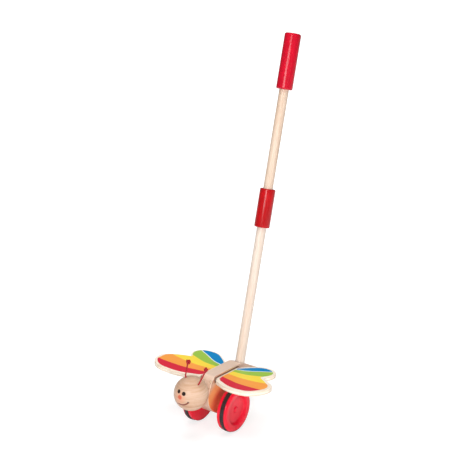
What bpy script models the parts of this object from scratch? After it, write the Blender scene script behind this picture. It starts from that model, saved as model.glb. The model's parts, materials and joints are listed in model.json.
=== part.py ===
"""A wooden push toy for toddlers: a butterfly on two wheels at the end of a long stick.

The toy faces -Y, its own left side is +X and +Z is up. The axle runs along X. Every piece is
a solid of its own, hung on an empty that stands on the floor below the axle, and the last
lines slide that empty so that the origin lies under the middle of the whole toy.
Lengths are in metres. Where a table is in shares, each share is of the size named beside it.
"""

import math

import bmesh
import bpy
from mathutils import Euler, Matrix, Vector

MM = 0.001
FIT = 0.3 * MM          # gap left between pieces that touch or turn in one another
OVERRUN = 5 * MM        # how far a cutter runs past the face it cuts
CUTTER_SIDES = 24

# Wheels, tyres and axle
TYRE_RADIUS = 33.0 * MM
TYRE_PROUD = 0.7 * MM
WHEEL_WIDTH = 15.5 * MM
WHEEL_SIDES = 48
WHEEL_OUTER_ROUND = 3.6 * MM
WHEEL_INNER_ROUND = 1.4 * MM
WHEEL_RIM_FLAT = 7.2 * MM
WHEEL_DISH_DEPTH = 5.0 * MM
GROOVE_FROM_INSIDE = 5.3 * MM
GROOVE_WIDTH = 6.4 * MM
GROOVE_DEPTH = 3.2 * MM
AXLE_RADIUS = 3.0 * MM
AXLE_IN_WHEEL = 7.2 * MM
AXLE_CHAMFER = 0.5 * MM
AXLE_SIDES = 20
SPACER_RADIUS = 7.0 * MM
SPACER_ROUND = 0.8 * MM
WHEEL_GAP = 13.0 * MM   # from the body's side to the wheel's inner face

# Pins on the wheels' inner faces, which pass under the wings' lifters
PIN_RADIUS = 3.0 * MM
PIN_CIRCLE = 25.4 * MM
PIN_DEPTH = 4.5 * MM
PIN_REACH = 9.4 * MM
PIN_ROUND = 0.7 * MM
# Where each wheel's front pin stands, from straight behind the axle round over the top
PIN_ANGLES = {"left": math.radians(247), "right": math.radians(160)}

# Body: a slab with a profile like a plump drop, low at the tail
BODY_WIDTH = 20.0 * MM
BODY_LENGTH = 131.0 * MM
BODY_ROUND = 3.6 * MM
AXLE_BEHIND_CHEST = 33.5 * MM
AXLE_ABOVE_BELLY = 12.0 * MM
# Profile points as shares of the length behind the chest and of the height above the belly.
# The height itself follows from the wings' hinges, which have to clear the wheels' pins.
RIDGE_FRONT_SHARES = (0.135, 1.0)
RIDGE_REAR_SHARES = (0.60, 0.925)
BACK_AND_BELLY_SHARES = (
    (0.725, 0.823), (0.905, 0.617), (0.985, 0.512), (0.998, 0.425), (0.945, 0.318),
    (0.70, 0.105), (0.42, 0.0), (0.22, 0.030), (0.085, 0.185), (0.0, 0.50),
    (0.040, 0.775),
)
CURVE_STEPS = 4
STICK_SEAT_SHARES = (0.708, 0.807)
NECK_SEAT_SHARES = (0.015, 0.698)

# Head, neck and antennae
HEAD_RADIUS = 24.7 * MM
HEAD_SIDES = 32
HEAD_ROLL = math.radians(12)     # glued on turned a little towards the left wing
NECK_RADIUS = 5.0 * MM
NECK_TILT = math.radians(16)
NECK_SHOWN = 5.4 * MM
NECK_IN_HEAD = 12.0 * MM
NECK_IN_BODY = 16.0 * MM
NECK_CHAMFER = 0.8 * MM
CORD_RADIUS = 1.05 * MM
CORD_IN_HEAD = 5.0 * MM
CORD_UPRIGHT = 2.5 * MM
CORD_TO_KNOT = {"left": 23.5 * MM, "right": 20.3 * MM}
CORD_TAIL = 6.4 * MM
CORD_SPREAD = math.radians(27.5)   # outwards from upright, where the cord leaves the head
CORD_FORWARD = math.radians(7)
CORD_LEAN_OUT = math.radians(9.5)
CORD_LEAN_BACK = math.radians(14)
KNOT_TURN_RADIUS = 2.1 * MM
KNOT_CORD_RADIUS = 1.2 * MM
KNOT_CORE_RADIUS = 2.4 * MM
KNOT_TURNS = ((math.radians(38), math.radians(11)), (math.radians(-33), math.radians(64)))

# Wings: plywood, hinged on a rod inside a slot in the body's side
WING_THICKNESS = 6.0 * MM
WING_EDGE_ROUND = 0.9 * MM
WING_DIHEDRAL = math.radians(3.6)
WING_SPAN = 86.0 * MM            # that the shares are of, from the body's side
WING_CHORD = 101.0 * MM          # from the fore edge to the rear of the hind lobe
WING_ROOT_FRONT = 14.5 * MM      # the root's reach ahead of the axle
WING_FORE_REACH = 38.0 * MM      # the fore lobe's reach ahead of the axle
WING_ROOT_SHOULDER = 2.0 * MM
PIVOT_INSET = 2.9 * MM           # rod's axis, in from the body's side
PIVOT_BELOW_RIDGE = 7.8 * MM
ROD_RADIUS = 1.5 * MM
ROD_REAR_HOLD = 6.0 * MM
ROD_TO_SOCKET = 4.0 * MM
PLUG_LENGTH = 2.4 * MM
WING_SWING = math.radians(20)
SLOT_FRONT_GAP = 3.2 * MM
SLOT_REAR_GAP = 0.8 * MM
# Outline as shares of the span and of the chord from the fore edge. The right wing is sawn
# a little fuller at its fore corner than the left one.
WING_FORE_SHARES = {
    "left": ((0.042, 0.178), (0.150, 0.115), (0.377, 0.025), (0.605, 0.0), (0.783, 0.030),
             (0.924, 0.150), (0.992, 0.290), (0.955, 0.420), (0.820, 0.520)),
    "right": ((0.042, 0.178), (0.150, 0.115), (0.377, 0.025), (0.605, 0.0), (0.792, 0.015),
              (0.937, 0.094), (1.028, 0.238), (1.0, 0.401), (0.845, 0.525)),
}
WING_NOTCH_SHARES = (0.640, 0.632)
WING_HIND_SHARES = {
    "left": ((0.706, 0.745), (0.706, 0.840), (0.638, 0.932), (0.500, 0.990), (0.348, 0.990),
             (0.195, 0.915), (0.096, 0.845)),
    "right": ((0.715, 0.745), (0.720, 0.840), (0.652, 0.940), (0.506, 1.0), (0.348, 0.995),
              (0.195, 0.915), (0.096, 0.845)),
}

# Lifters: tabs under the wings that the wheels' pins push up
LIFTER_THICKNESS = 4.0 * MM
LIFTER_WIDTH = 12.0 * MM
LIFTER_FROM_SIDE = 2.5 * MM
LIFTER_IN_WING = 3.2 * MM
LIFTER_DROP = 15.8 * MM          # from the hinge down to the tab's foot
LIFTER_PIN_GAP = 0.35 * MM
LIFTER_ARC_STEPS = 10

# Stick, coupling and grip
STICK_RADIUS = 7.0 * MM
STICK_LEAN = math.radians(15.9)
STICK_IN_BODY = 28.0 * MM
STICK_SIDES = 32
STICK_CHAMFER = 0.8 * MM
STICK_JOINT = 233.5 * MM         # along the stick, from the body's back
COUPLING_LENGTH = 57.0 * MM
COUPLING_RADIUS = 11.4 * MM
COUPLING_ROUND = 1.8 * MM
GRIP_FROM = 407.5 * MM
GRIP_LENGTH = 81.0 * MM
GRIP_RADIUS = 12.0 * MM
GRIP_TOP_ROUND = 3.0 * MM
GRIP_FOOT_ROUND = 2.0 * MM
GRIP_BORE = 60.0 * MM
SCREW_RADIUS = 2.4 * MM
SCREW_LENGTH = 42.0 * MM
SCREW_POINT = 5.0 * MM
SCREW_TIP_RADIUS = 0.5 * MM
SCREW_SIDES = 16
ROUND_STEPS = 3


for leftover in list(bpy.data.objects):
    bpy.data.objects.remove(leftover, do_unlink=True)

parts = bpy.data.collections.new("butterfly_push_toy")
cutters = bpy.data.collections.new("cutters")
for collection in (parts, cutters):
    bpy.context.scene.collection.children.link(collection)


def paint(name, color, roughness, metallic=0.0):
    material = bpy.data.materials.new(name)
    material.use_nodes = True
    shader = material.node_tree.nodes["Principled BSDF"]
    shader.inputs["Base Color"].default_value = (*color, 1)
    shader.inputs["Roughness"].default_value = roughness
    shader.inputs["Metallic"].default_value = metallic
    return material


beech = (0.80, 0.58, 0.38)
red = (0.68, 0.01, 0.03)
steel = (0.60, 0.60, 0.62)


def empty(name, parent=None, location=(0, 0, 0), rotation=(0, 0, 0)):
    found = bpy.data.objects.new(name, None)
    parts.objects.link(found)
    found.parent = parent
    found.location = location
    found.rotation_euler = rotation
    return found


def solid(name, mesh, parent, material=None, location=(0, 0, 0), rotation=(0, 0, 0)):
    """A mesh as an object: a part of the toy, or a cutter where it has no material."""
    made = bpy.data.objects.new(name, mesh)
    (parts if material else cutters).objects.link(made)
    made.parent = parent
    made.location = location
    made.rotation_euler = rotation
    if material:
        mesh.materials.append(material)
    else:
        made.hide_render = True
        made.display_type = "WIRE"
    return made


def rod_mesh(name, radius, start, end, sides):
    """A round bar along its own Z, from start to end."""
    mesh = bpy.data.meshes.new(name)
    made = bmesh.new()
    middle = Matrix.Translation((0, 0, (start + end) / 2))
    bmesh.ops.create_cone(made, cap_ends=True, segments=sides, radius1=radius, radius2=radius,
                          depth=end - start, matrix=middle)
    made.to_mesh(mesh)
    made.free()
    return mesh


def ball_mesh(name, radius, sides):
    mesh = bpy.data.meshes.new(name)
    made = bmesh.new()
    bmesh.ops.create_uvsphere(made, u_segments=sides, v_segments=sides // 2, radius=radius)
    made.to_mesh(mesh)
    made.free()
    return mesh


def outline_mesh(name, splines, thickness, steps):
    """A flat outline in X and Y with its thickness along Z. A spline is (points, closed kind)."""
    curve = bpy.data.curves.new(name, "CURVE")
    curve.dimensions = "2D"
    curve.fill_mode = "BOTH"
    curve.extrude = thickness / 2
    curve.resolution_u = steps
    spline = curve.splines.new("BEZIER")
    spline.bezier_points.add(len(splines) - 1)
    for point, (x, y, left, right) in zip(spline.bezier_points, splines):
        point.co = (x, y, 0)
        point.handle_left_type = left
        point.handle_right_type = right
    spline.use_cyclic_u = True
    guide = bpy.data.objects.new(name + "_outline", curve)
    cutters.objects.link(guide)
    bpy.context.view_layer.update()
    mesh = bpy.data.meshes.new_from_object(guide.evaluated_get(bpy.context.evaluated_depsgraph_get()))
    bpy.data.objects.remove(guide)
    weld(mesh)
    mesh.materials.clear()
    return mesh


def weld(mesh):
    made = bmesh.new()
    made.from_mesh(mesh)
    bmesh.ops.remove_doubles(made, verts=made.verts, dist=0.01 * MM)
    made.to_mesh(mesh)
    made.free()


def turned(made, steps):
    """Turns the object's profile about its own Z axis."""
    screw = made.modifiers.new("Turn", "SCREW")
    screw.steps = screw.render_steps = steps
    screw.use_merge_vertices = True
    screw.merge_threshold = 0.01 * MM
    screw.use_smooth_shade = True


def profile_mesh(name, points, closed=True):
    """A profile of (radius, height) points. It runs outwards over the top and down the side."""
    mesh = bpy.data.meshes.new(name)
    edges = [(i, i + 1) for i in range(len(points) - 1)]
    if closed:
        edges.append((len(points) - 1, 0))
    mesh.from_pydata([(radius, 0, height) for radius, height in points], edges, [])
    return mesh


def corner(radius, height, size, start, turn=-90, steps=ROUND_STEPS):
    """Points of a rounded corner. Its centre is (radius, height), and its angles are in degrees."""
    angles = [math.radians(start + turn * i / steps) for i in range(steps + 1)]
    return [(radius + size * math.cos(a), height + size * math.sin(a)) for a in angles]


def rounded(made, width, segments=2, angle=40):
    bevel = made.modifiers.new("Round", "BEVEL")
    bevel.width = width
    bevel.segments = segments
    bevel.limit_method = "ANGLE"
    bevel.angle_limit = math.radians(angle)


def cut(made, cutter, operation="DIFFERENCE"):
    boolean = made.modifiers.new(cutter.name, "BOOLEAN")
    boolean.operation = operation
    boolean.solver = "EXACT"
    boolean.object = cutter


def smooth(made, angle=35):
    made.data.shade_smooth()
    made.data.set_sharp_from_angle(angle=math.radians(angle))


def bored(made, name, radius, start, end, parent, location=(0, 0, 0), rotation=(0, 0, 0)):
    """Drills a hole along the cutter's own Z."""
    mesh = rod_mesh(name, radius, start, end, CUTTER_SIDES)
    cut(made, solid(name, mesh, parent, None, location, rotation))


# Places that several pieces share
root = empty("toy")
axle_line = empty("axle_line", root, (0, 0, TYRE_RADIUS))
body_side = BODY_WIDTH / 2
wheel_face = body_side + WHEEL_GAP
groove_radius = TYRE_RADIUS - TYRE_PROUD - GROOVE_DEPTH
SIDES = {"left": 1, "right": -1}
PIN_ENDS = {"front": 1, "rear": -1}


def body_height():
    """From belly to ridge, so that the lifters under the wings just clear the wheels' pins."""
    pin_top = PIN_CIRCLE + PIN_RADIUS + LIFTER_PIN_GAP
    rise = (PIVOT_INSET + LIFTER_FROM_SIDE) * math.sin(WING_DIHEDRAL)
    ridge = pin_top + LIFTER_DROP - rise + PIVOT_BELOW_RIDGE
    front_along, front_up = RIDGE_FRONT_SHARES
    rear_along, rear_up = RIDGE_REAR_SHARES
    over_axle = (AXLE_BEHIND_CHEST / BODY_LENGTH - front_along) / (rear_along - front_along)
    return (ridge + AXLE_ABOVE_BELLY) / (front_up + (rear_up - front_up) * over_axle)


def on_body(shares):
    """A profile point as (y, z) from the axle."""
    along, up = shares
    return along * BODY_LENGTH - AXLE_BEHIND_CHEST, up * body_height() - AXLE_ABOVE_BELLY


ridge_front = on_body(RIDGE_FRONT_SHARES)
ridge_rear = on_body(RIDGE_REAR_SHARES)
ridge_slope = math.atan2(ridge_rear[1] - ridge_front[1], ridge_rear[0] - ridge_front[0])
ridge_over_axle = ridge_front[1] - ridge_front[0] * math.tan(ridge_slope)
hinge_line = empty("hinge_line", axle_line,
                   (0, 0, ridge_over_axle - PIVOT_BELOW_RIDGE), (ridge_slope, 0, 0))
pivot_side = body_side - PIVOT_INSET

seat_y, seat_z = on_body(STICK_SEAT_SHARES)
socket_front = seat_y - (STICK_RADIUS + FIT) / math.cos(STICK_LEAN)
rod_rear = socket_front - ROD_TO_SOCKET
wing_root_rear = rod_rear - ROD_REAR_HOLD
stick_line = empty("stick_line", axle_line, (0, seat_y, seat_z), (-STICK_LEAN, 0, 0))
neck_y, neck_z = on_body(NECK_SEAT_SHARES)
# The neck's own Z points from the chest up to the head
neck_line = empty("neck_line", axle_line, (0, neck_y, neck_z), (math.pi / 2 - NECK_TILT, 0, 0))
head_centre = NECK_SHOWN + HEAD_RADIUS
head_line = empty("head_line", neck_line, (0, 0, head_centre),
                  (NECK_TILT - math.pi / 2, 0, -HEAD_ROLL))


def body_blank(name, material=None):
    """The body's slab with its edges rounded, before anything is cut in it."""
    points = [(*on_body(RIDGE_FRONT_SHARES), "AUTO", "VECTOR"),
              (*on_body(RIDGE_REAR_SHARES), "VECTOR", "AUTO")]
    points += [(*on_body(shares), "AUTO", "AUTO") for shares in BACK_AND_BELLY_SHARES]
    mesh = outline_mesh(name, points, BODY_WIDTH, CURVE_STEPS)
    # The outline's X and Y become the toy's Y and Z
    mesh.transform(Matrix(((0, 0, 1, 0), (1, 0, 0, 0), (0, 1, 0, 0), (0, 0, 0, 1))))
    blank = solid(name, mesh, axle_line, material)
    rounded(blank, BODY_ROUND, 3)
    return blank


def make_body():
    body = body_blank("body", paint("beech_body", beech, 0.5))
    bored(body, "axle_bore", AXLE_RADIUS + FIT, -body_side - OVERRUN, body_side + OVERRUN,
          axle_line, rotation=(0, math.pi / 2, 0))
    bored(body, "stick_socket", STICK_RADIUS + FIT, -STICK_IN_BODY - FIT, STICK_IN_BODY, stick_line)
    bored(body, "neck_socket", NECK_RADIUS + FIT, -NECK_IN_BODY - FIT, NECK_SHOWN, neck_line)
    for side, sign in SIDES.items():
        slot = slot_cutter(side, sign)
        cut(body, slot)
        bored(body, f"rod_bore_{side}", ROD_RADIUS + FIT, -rod_rear - FIT,
              AXLE_BEHIND_CHEST, hinge_line, (sign * pivot_side, 0, 0), (math.pi / 2, 0, 0))
    smooth(body)


def slot_cutter(side, sign):
    """The slot that the wing's root swings in: level above, with a lip below that stops the wing."""
    half = WING_THICKNESS / 2
    reach = math.hypot(half, half) + FIT
    up = WING_DIHEDRAL + WING_SWING
    mouth = PIVOT_INSET + OVERRUN
    top = (PIVOT_INSET * math.sin(up) + half) / math.cos(up) + 2 * FIT
    rest = math.tan(WING_DIHEDRAL)
    lip = half / math.cos(WING_DIHEDRAL) + FIT
    points = [(-reach, -reach), (-reach, max(top, reach)), (mouth, max(top, reach)),
              (mouth, mouth * rest - lip), (PIVOT_INSET / 2, PIVOT_INSET / 2 * rest - lip),
              (0, -reach)]
    outline = [(sign * (pivot_side + x), y, "VECTOR", "VECTOR") for x, y in points]
    front = -WING_ROOT_FRONT - SLOT_FRONT_GAP
    rear = wing_root_rear + SLOT_REAR_GAP
    mesh = outline_mesh(f"slot_{side}", outline, rear - front, 1)
    middle = (front + rear) / 2
    return solid(f"slot_{side}", mesh, hinge_line, None, (0, middle, 0), (math.pi / 2, 0, 0))


def make_head():
    mesh = ball_mesh("head", HEAD_RADIUS, HEAD_SIDES)
    head = solid("head", mesh, head_line, paint("beech_head", beech, 0.5))
    bored(head, "neck_hole", NECK_RADIUS + FIT, -HEAD_RADIUS - OVERRUN,
          NECK_IN_HEAD + FIT - HEAD_RADIUS, neck_line, (0, 0, head_centre))
    for side, sign in SIDES.items():
        bored(head, f"cord_hole_{side}", CORD_RADIUS + FIT, HEAD_RADIUS - CORD_IN_HEAD - FIT,
              HEAD_RADIUS + OVERRUN, head_line, rotation=cord_turn(sign))
    smooth(head)


def make_neck():
    mesh = rod_mesh("neck_dowel", NECK_RADIUS, -NECK_IN_BODY, NECK_SHOWN + NECK_IN_HEAD, AXLE_SIDES)
    neck = solid("neck_dowel", mesh, neck_line, paint("beech_neck", beech, 0.55))
    rounded(neck, NECK_CHAMFER)
    smooth(neck)


def cord_turn(sign):
    """From the head's own Z to where a cord leaves it."""
    return Euler((CORD_FORWARD, sign * CORD_SPREAD, 0))


def make_antenna(side, sign):
    """A stiff waxed cord glued into the head, with an overhand knot near its end."""
    leaves = Vector((0, 0, 1))
    leaves.rotate(cord_turn(sign))
    leans = Vector((sign * math.sin(CORD_LEAN_OUT), math.sin(CORD_LEAN_BACK), 0))
    leans.z = math.sqrt(1 - leans.x ** 2 - leans.y ** 2)
    base = leaves * HEAD_RADIUS
    bend = base + leaves * CORD_UPRIGHT
    knot = bend + leans * CORD_TO_KNOT[side]
    curve = bpy.data.curves.new(f"antenna_{side}", "CURVE")
    curve.dimensions = "3D"
    curve.bevel_depth = CORD_RADIUS
    curve.bevel_resolution = 2
    curve.use_fill_caps = True
    curve.resolution_u = CURVE_STEPS
    spline = curve.splines.new("BEZIER")
    route = [(base - leaves * CORD_IN_HEAD, "VECTOR"), (base, "VECTOR"), (bend, "AUTO"),
             (knot, "AUTO"), (knot + leans * CORD_TAIL, "AUTO")]
    spline.bezier_points.add(len(route) - 1)
    for point, (place, handle) in zip(spline.bezier_points, route):
        point.co = place
        point.handle_left_type = point.handle_right_type = handle
    guide = bpy.data.objects.new("cord_guide", curve)
    cutters.objects.link(guide)
    bpy.context.view_layer.update()
    mesh = bpy.data.meshes.new_from_object(guide.evaluated_get(bpy.context.evaluated_depsgraph_get()))
    bpy.data.objects.remove(guide)
    weld(mesh)
    mesh.materials.clear()
    antenna = solid(f"antenna_{side}", mesh, head_line, paint(f"waxed_cord_{side}", red, 0.6))
    core = ball_mesh(f"knot_core_{side}", KNOT_CORE_RADIUS, CUTTER_SIDES // 2)
    cut(antenna, solid(core.name, core, head_line, None, knot), "UNION")
    upright = leans.to_track_quat("Z", "Y").to_matrix().to_4x4()
    for number, (tilt, spin) in enumerate(KNOT_TURNS):
        turned_by = Matrix.Rotation(spin, 4, "Z") @ Matrix.Rotation(tilt, 4, "X")
        place = Matrix.Translation(knot) @ upright @ turned_by
        turn = ring_mesh(f"knot_turn_{side}_{number}", KNOT_TURN_RADIUS, KNOT_CORD_RADIUS, place)
        cut(antenna, solid(turn.name, turn, head_line), "UNION")
    smooth(antenna, 60)


def ring_mesh(name, radius, thickness, place, around=12, across=7):
    """One turn of cord as a ring, with its middle at the given place."""
    bpy.ops.mesh.primitive_torus_add(major_radius=radius, minor_radius=thickness,
                                     major_segments=around, minor_segments=across)
    ring = bpy.context.object
    mesh = ring.data
    mesh.name = name
    bpy.data.objects.remove(ring)
    mesh.transform(place)
    return mesh


def make_wheel(side, sign):
    """A turned wheel: a dished outer face, a groove for the tyre and a bore that stops inside it."""
    radius = TYRE_RADIUS - TYRE_PROUD
    bore = AXLE_RADIUS + FIT
    dish = radius - WHEEL_OUTER_ROUND - WHEEL_RIM_FLAT
    groove_top = GROOVE_FROM_INSIDE + GROOVE_WIDTH
    steps = 5
    points = []
    for i in range(steps + 1):
        share = i / steps
        points.append((dish * share,
                       WHEEL_WIDTH - WHEEL_DISH_DEPTH * (1 + math.cos(math.pi * share)) / 2))
    points += corner(radius - WHEEL_OUTER_ROUND, WHEEL_WIDTH - WHEEL_OUTER_ROUND,
                     WHEEL_OUTER_ROUND, 90)
    points += [(radius, groove_top), (groove_radius, groove_top),
               (groove_radius, GROOVE_FROM_INSIDE), (radius, GROOVE_FROM_INSIDE)]
    points += corner(radius - WHEEL_INNER_ROUND, WHEEL_INNER_ROUND, WHEEL_INNER_ROUND, 0, steps=2)
    bore_end = AXLE_IN_WHEEL + FIT
    points += [(bore, 0), (bore, bore_end), (0, bore_end)]
    wheel = solid(f"wheel_{side}", profile_mesh("wheel", points, closed=False), axle_line,
                  paint(f"red_wheel_{side}", red, 0.2),
                  (sign * wheel_face, 0, 0), (0, sign * math.pi / 2, 0))
    turned(wheel, WHEEL_SIDES)
    for end in PIN_ENDS:
        bored(wheel, f"pin_hole_{side}_{end}", PIN_RADIUS + FIT, -OVERRUN, PIN_DEPTH + FIT, axle_line,
              pin_place(side, end), (0, sign * math.pi / 2, 0))


def pin_place(side, end):
    angle = PIN_ANGLES[side]
    reach = PIN_CIRCLE * PIN_ENDS[end]
    return SIDES[side] * wheel_face, reach * math.cos(angle), reach * math.sin(angle)


def make_pin(side, sign, end):
    """A pin in the wheel's inner face. The two of a wheel stand opposite each other."""
    mesh = rod_mesh("lift_pin", PIN_RADIUS, -PIN_REACH, PIN_DEPTH, SCREW_SIDES)
    pin = solid(f"lift_pin_{side}_{end}", mesh, axle_line, paint(f"beech_pin_{side}_{end}", beech, 0.5),
                pin_place(side, end), (0, sign * math.pi / 2, 0))
    rounded(pin, PIN_ROUND)
    smooth(pin)


def make_tyre(side, sign):
    """A rubber ring, a little crowned, sprung into the wheel's groove."""
    inner = groove_radius + FIT
    low = GROOVE_FROM_INSIDE + FIT
    high = GROOVE_FROM_INSIDE + GROOVE_WIDTH - FIT
    crown = TYRE_PROUD
    points = [(inner, high), (TYRE_RADIUS - crown, high), (TYRE_RADIUS, high - crown),
              (TYRE_RADIUS, low + crown), (TYRE_RADIUS - crown, low), (inner, low)]
    tyre = solid(f"tyre_{side}", profile_mesh("tyre", points), axle_line,
                 paint(f"black_rubber_{side}", (0.015, 0.012, 0.012), 0.8),
                 (sign * wheel_face, 0, 0), (0, sign * math.pi / 2, 0))
    turned(tyre, WHEEL_SIDES)


def make_spacer(side, sign):
    """A turned ring on the axle that holds the wheel off the body."""
    length = WHEEL_GAP - 2 * FIT
    inner = AXLE_RADIUS + FIT
    edge = SPACER_RADIUS - SPACER_ROUND
    points = [(inner, length)] + corner(edge, length - SPACER_ROUND, SPACER_ROUND, 90, steps=2)
    points += corner(edge, SPACER_ROUND, SPACER_ROUND, 0, steps=2) + [(inner, 0)]
    spacer = solid(f"axle_spacer_{side}", profile_mesh("spacer", points), axle_line,
                   paint(f"beech_spacer_{side}", beech, 0.55),
                   (sign * (body_side + FIT), 0, 0), (0, sign * math.pi / 2, 0))
    turned(spacer, AXLE_SIDES)


def make_axle():
    half = wheel_face + AXLE_IN_WHEEL
    mesh = rod_mesh("axle", AXLE_RADIUS, -half, half, AXLE_SIDES)
    axle = solid("axle", mesh, axle_line, paint("steel_axle", steel, 0.3, 1), rotation=(0, math.pi / 2, 0))
    rounded(axle, AXLE_CHAMFER, 1)
    smooth(axle)


def make_wing(side, sign):
    """A plywood wing with a fore lobe and a hind lobe, its origin on the hinge rod's axis."""
    fore_edge = -WING_FORE_REACH

    def place(shares):
        across, along = shares
        return sign * (PIVOT_INSET + across * WING_SPAN), fore_edge + along * WING_CHORD

    inner = -WING_THICKNESS / 2
    shoulder = PIVOT_INSET + WING_ROOT_SHOULDER
    points = [(sign * inner, -WING_ROOT_FRONT, "VECTOR", "VECTOR"),
              (sign * shoulder, -WING_ROOT_FRONT, "VECTOR", "AUTO")]
    points += [(*place(shares), "AUTO", "AUTO") for shares in WING_FORE_SHARES[side]]
    points.append((*place(WING_NOTCH_SHARES), "VECTOR", "VECTOR"))
    points += [(*place(shares), "AUTO", "AUTO") for shares in WING_HIND_SHARES[side]]
    points += [(sign * shoulder, wing_root_rear, "AUTO", "VECTOR"),
               (sign * inner, wing_root_rear, "VECTOR", "VECTOR")]
    mesh = outline_mesh(f"wing_{side}", points, WING_THICKNESS, CURVE_STEPS)
    frame = empty(f"wing_hinge_{side}", hinge_line, (sign * pivot_side, 0, 0),
                  (0, -sign * WING_DIHEDRAL, 0))
    wing = solid(f"wing_{side}", mesh, frame, paint(f"painted_ply_{side}", (0.85, 0.62, 0.12), 0.4))
    rounded(wing, WING_EDGE_ROUND, 2, 60)
    bored(wing, f"wing_bore_{side}", ROD_RADIUS + FIT, -wing_root_rear - OVERRUN,
          WING_ROOT_FRONT + OVERRUN, frame, rotation=(math.pi / 2, 0, 0))
    mortise = lifter_mesh(f"mortise_{side}", sign, FIT)
    cut(wing, solid(f"mortise_{side}", mortise, frame, None, *lifter_place(sign)))
    smooth(wing)
    lifter = solid(f"lifter_{side}", lifter_mesh("lifter", sign, 0), frame,
                   paint(f"beech_lifter_{side}", beech, 0.5), *lifter_place(sign))
    smooth(lifter)


def lifter_place(sign):
    middle = PIVOT_INSET + LIFTER_FROM_SIDE + LIFTER_THICKNESS / 2
    return (sign * middle, 0, 0), (math.pi / 2, 0, math.pi / 2)


def lifter_mesh(name, sign, clearance):
    """A tab with a round foot, or the mortise for it: its own X runs along the toy and its Y up."""
    half = LIFTER_WIDTH / 2 + clearance
    head = LIFTER_IN_WING - WING_THICKNESS / 2 + clearance
    points = [(half, head), (-half, head)]
    for i in range(LIFTER_ARC_STEPS + 1):
        angle = math.pi + math.pi * i / LIFTER_ARC_STEPS
        points.append((half * math.cos(angle), half - LIFTER_DROP + half * math.sin(angle)))
    outline = [(x, y, "VECTOR", "VECTOR") for x, y in points]
    return outline_mesh(name, outline, LIFTER_THICKNESS + 2 * clearance, 1)


def make_rod(side, sign):
    """A steel rod driven in from the chest through the wing's root, and the plug that hides it."""
    front = chest_reach() - PLUG_LENGTH
    mesh = rod_mesh("hinge_rod", ROD_RADIUS, -rod_rear, front - FIT, SCREW_SIDES)
    rod = solid(f"hinge_rod_{side}", mesh, hinge_line, paint(f"steel_rod_{side}", steel, 0.3, 1),
                (sign * pivot_side, 0, 0), (math.pi / 2, 0, 0))
    smooth(rod)
    mesh = rod_mesh("rod_plug", ROD_RADIUS, front, AXLE_BEHIND_CHEST, SCREW_SIDES)
    plug = solid(f"rod_plug_{side}", mesh, hinge_line, paint(f"beech_plug_{side}", beech, 0.5),
                 (sign * pivot_side, 0, 0), (math.pi / 2, 0, 0))
    cut(plug, body_blank(f"plug_trim_{side}"), "INTERSECT")
    smooth(plug)


def chest_reach():
    """How far ahead of the axle the chest's face lies, at the height of the hinge rods."""
    front_y, front_z = ridge_front
    low_y, low_z = on_body(BACK_AND_BELLY_SHARES[-1])
    share = PIVOT_BELOW_RIDGE / (front_z - low_z)
    return -(front_y + (low_y - front_y) * share)


def make_stick():
    grip_floor = GRIP_FROM + GRIP_BORE
    screw_hole = SCREW_LENGTH / 2 + FIT
    for name, start, end in (
        ("stick_lower", -STICK_IN_BODY, STICK_JOINT - FIT / 2),
        ("stick_upper", STICK_JOINT + FIT / 2, grip_floor - FIT),
    ):
        mesh = rod_mesh(name, STICK_RADIUS, start, end, STICK_SIDES)
        stick = solid(name, mesh, stick_line, paint(f"beech_{name}", beech, 0.5))
        rounded(stick, STICK_CHAMFER, 1)
        bored(stick, f"screw_hole_{name}", SCREW_RADIUS + FIT, STICK_JOINT - screw_hole,
              STICK_JOINT + screw_hole, stick_line)
        smooth(stick)
    half = SCREW_LENGTH / 2
    points = [(SCREW_TIP_RADIUS, half), (SCREW_RADIUS, half - SCREW_POINT),
              (SCREW_RADIUS, SCREW_POINT - half), (SCREW_TIP_RADIUS, -half)]
    points = [(0, half)] + points + [(0, -half)]
    screw = solid("dowel_screw", profile_mesh("dowel_screw", points, closed=False), stick_line,
                  paint("steel_screw", steel, 0.35, 1), (0, 0, STICK_JOINT))
    turned(screw, SCREW_SIDES)


def make_coupling():
    """The turned sleeve that joins the two halves of the stick."""
    inner = STICK_RADIUS + FIT
    edge = COUPLING_RADIUS - COUPLING_ROUND
    points = [(inner, COUPLING_LENGTH)]
    points += corner(edge, COUPLING_LENGTH - COUPLING_ROUND, COUPLING_ROUND, 90)
    points += corner(edge, COUPLING_ROUND, COUPLING_ROUND, 0) + [(inner, 0)]
    coupling = solid("coupling", profile_mesh("coupling", points), stick_line,
                     paint("red_coupling", red, 0.2), (0, 0, STICK_JOINT - COUPLING_LENGTH / 2))
    turned(coupling, STICK_SIDES)


def make_grip():
    """The turned grip, bored from below for the stick."""
    inner = STICK_RADIUS + FIT
    top_edge = GRIP_RADIUS - GRIP_TOP_ROUND
    foot_edge = GRIP_RADIUS - GRIP_FOOT_ROUND
    points = [(0, GRIP_LENGTH)]
    points += corner(top_edge, GRIP_LENGTH - GRIP_TOP_ROUND, GRIP_TOP_ROUND, 90, steps=4)
    points += corner(foot_edge, GRIP_FOOT_ROUND, GRIP_FOOT_ROUND, 0)
    points += [(inner, 0), (inner, GRIP_BORE), (0, GRIP_BORE)]
    grip = solid("grip", profile_mesh("grip", points, closed=False), stick_line,
                 paint("red_grip", red, 0.2), (0, 0, GRIP_FROM))
    turned(grip, STICK_SIDES)


def whole_box():
    """The lowest and highest corners of every part, as the toy stands."""
    bpy.context.view_layer.update()
    graph = bpy.context.evaluated_depsgraph_get()
    corners = []
    for made in parts.objects:
        if made.type == "MESH":
            evaluated = made.evaluated_get(graph)
            corners += [made.matrix_world @ vertex.co for vertex in evaluated.data.vertices]
    low = Vector([min(c[axis] for c in corners) for axis in range(3)])
    high = Vector([max(c[axis] for c in corners) for axis in range(3)])
    return low, high


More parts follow.
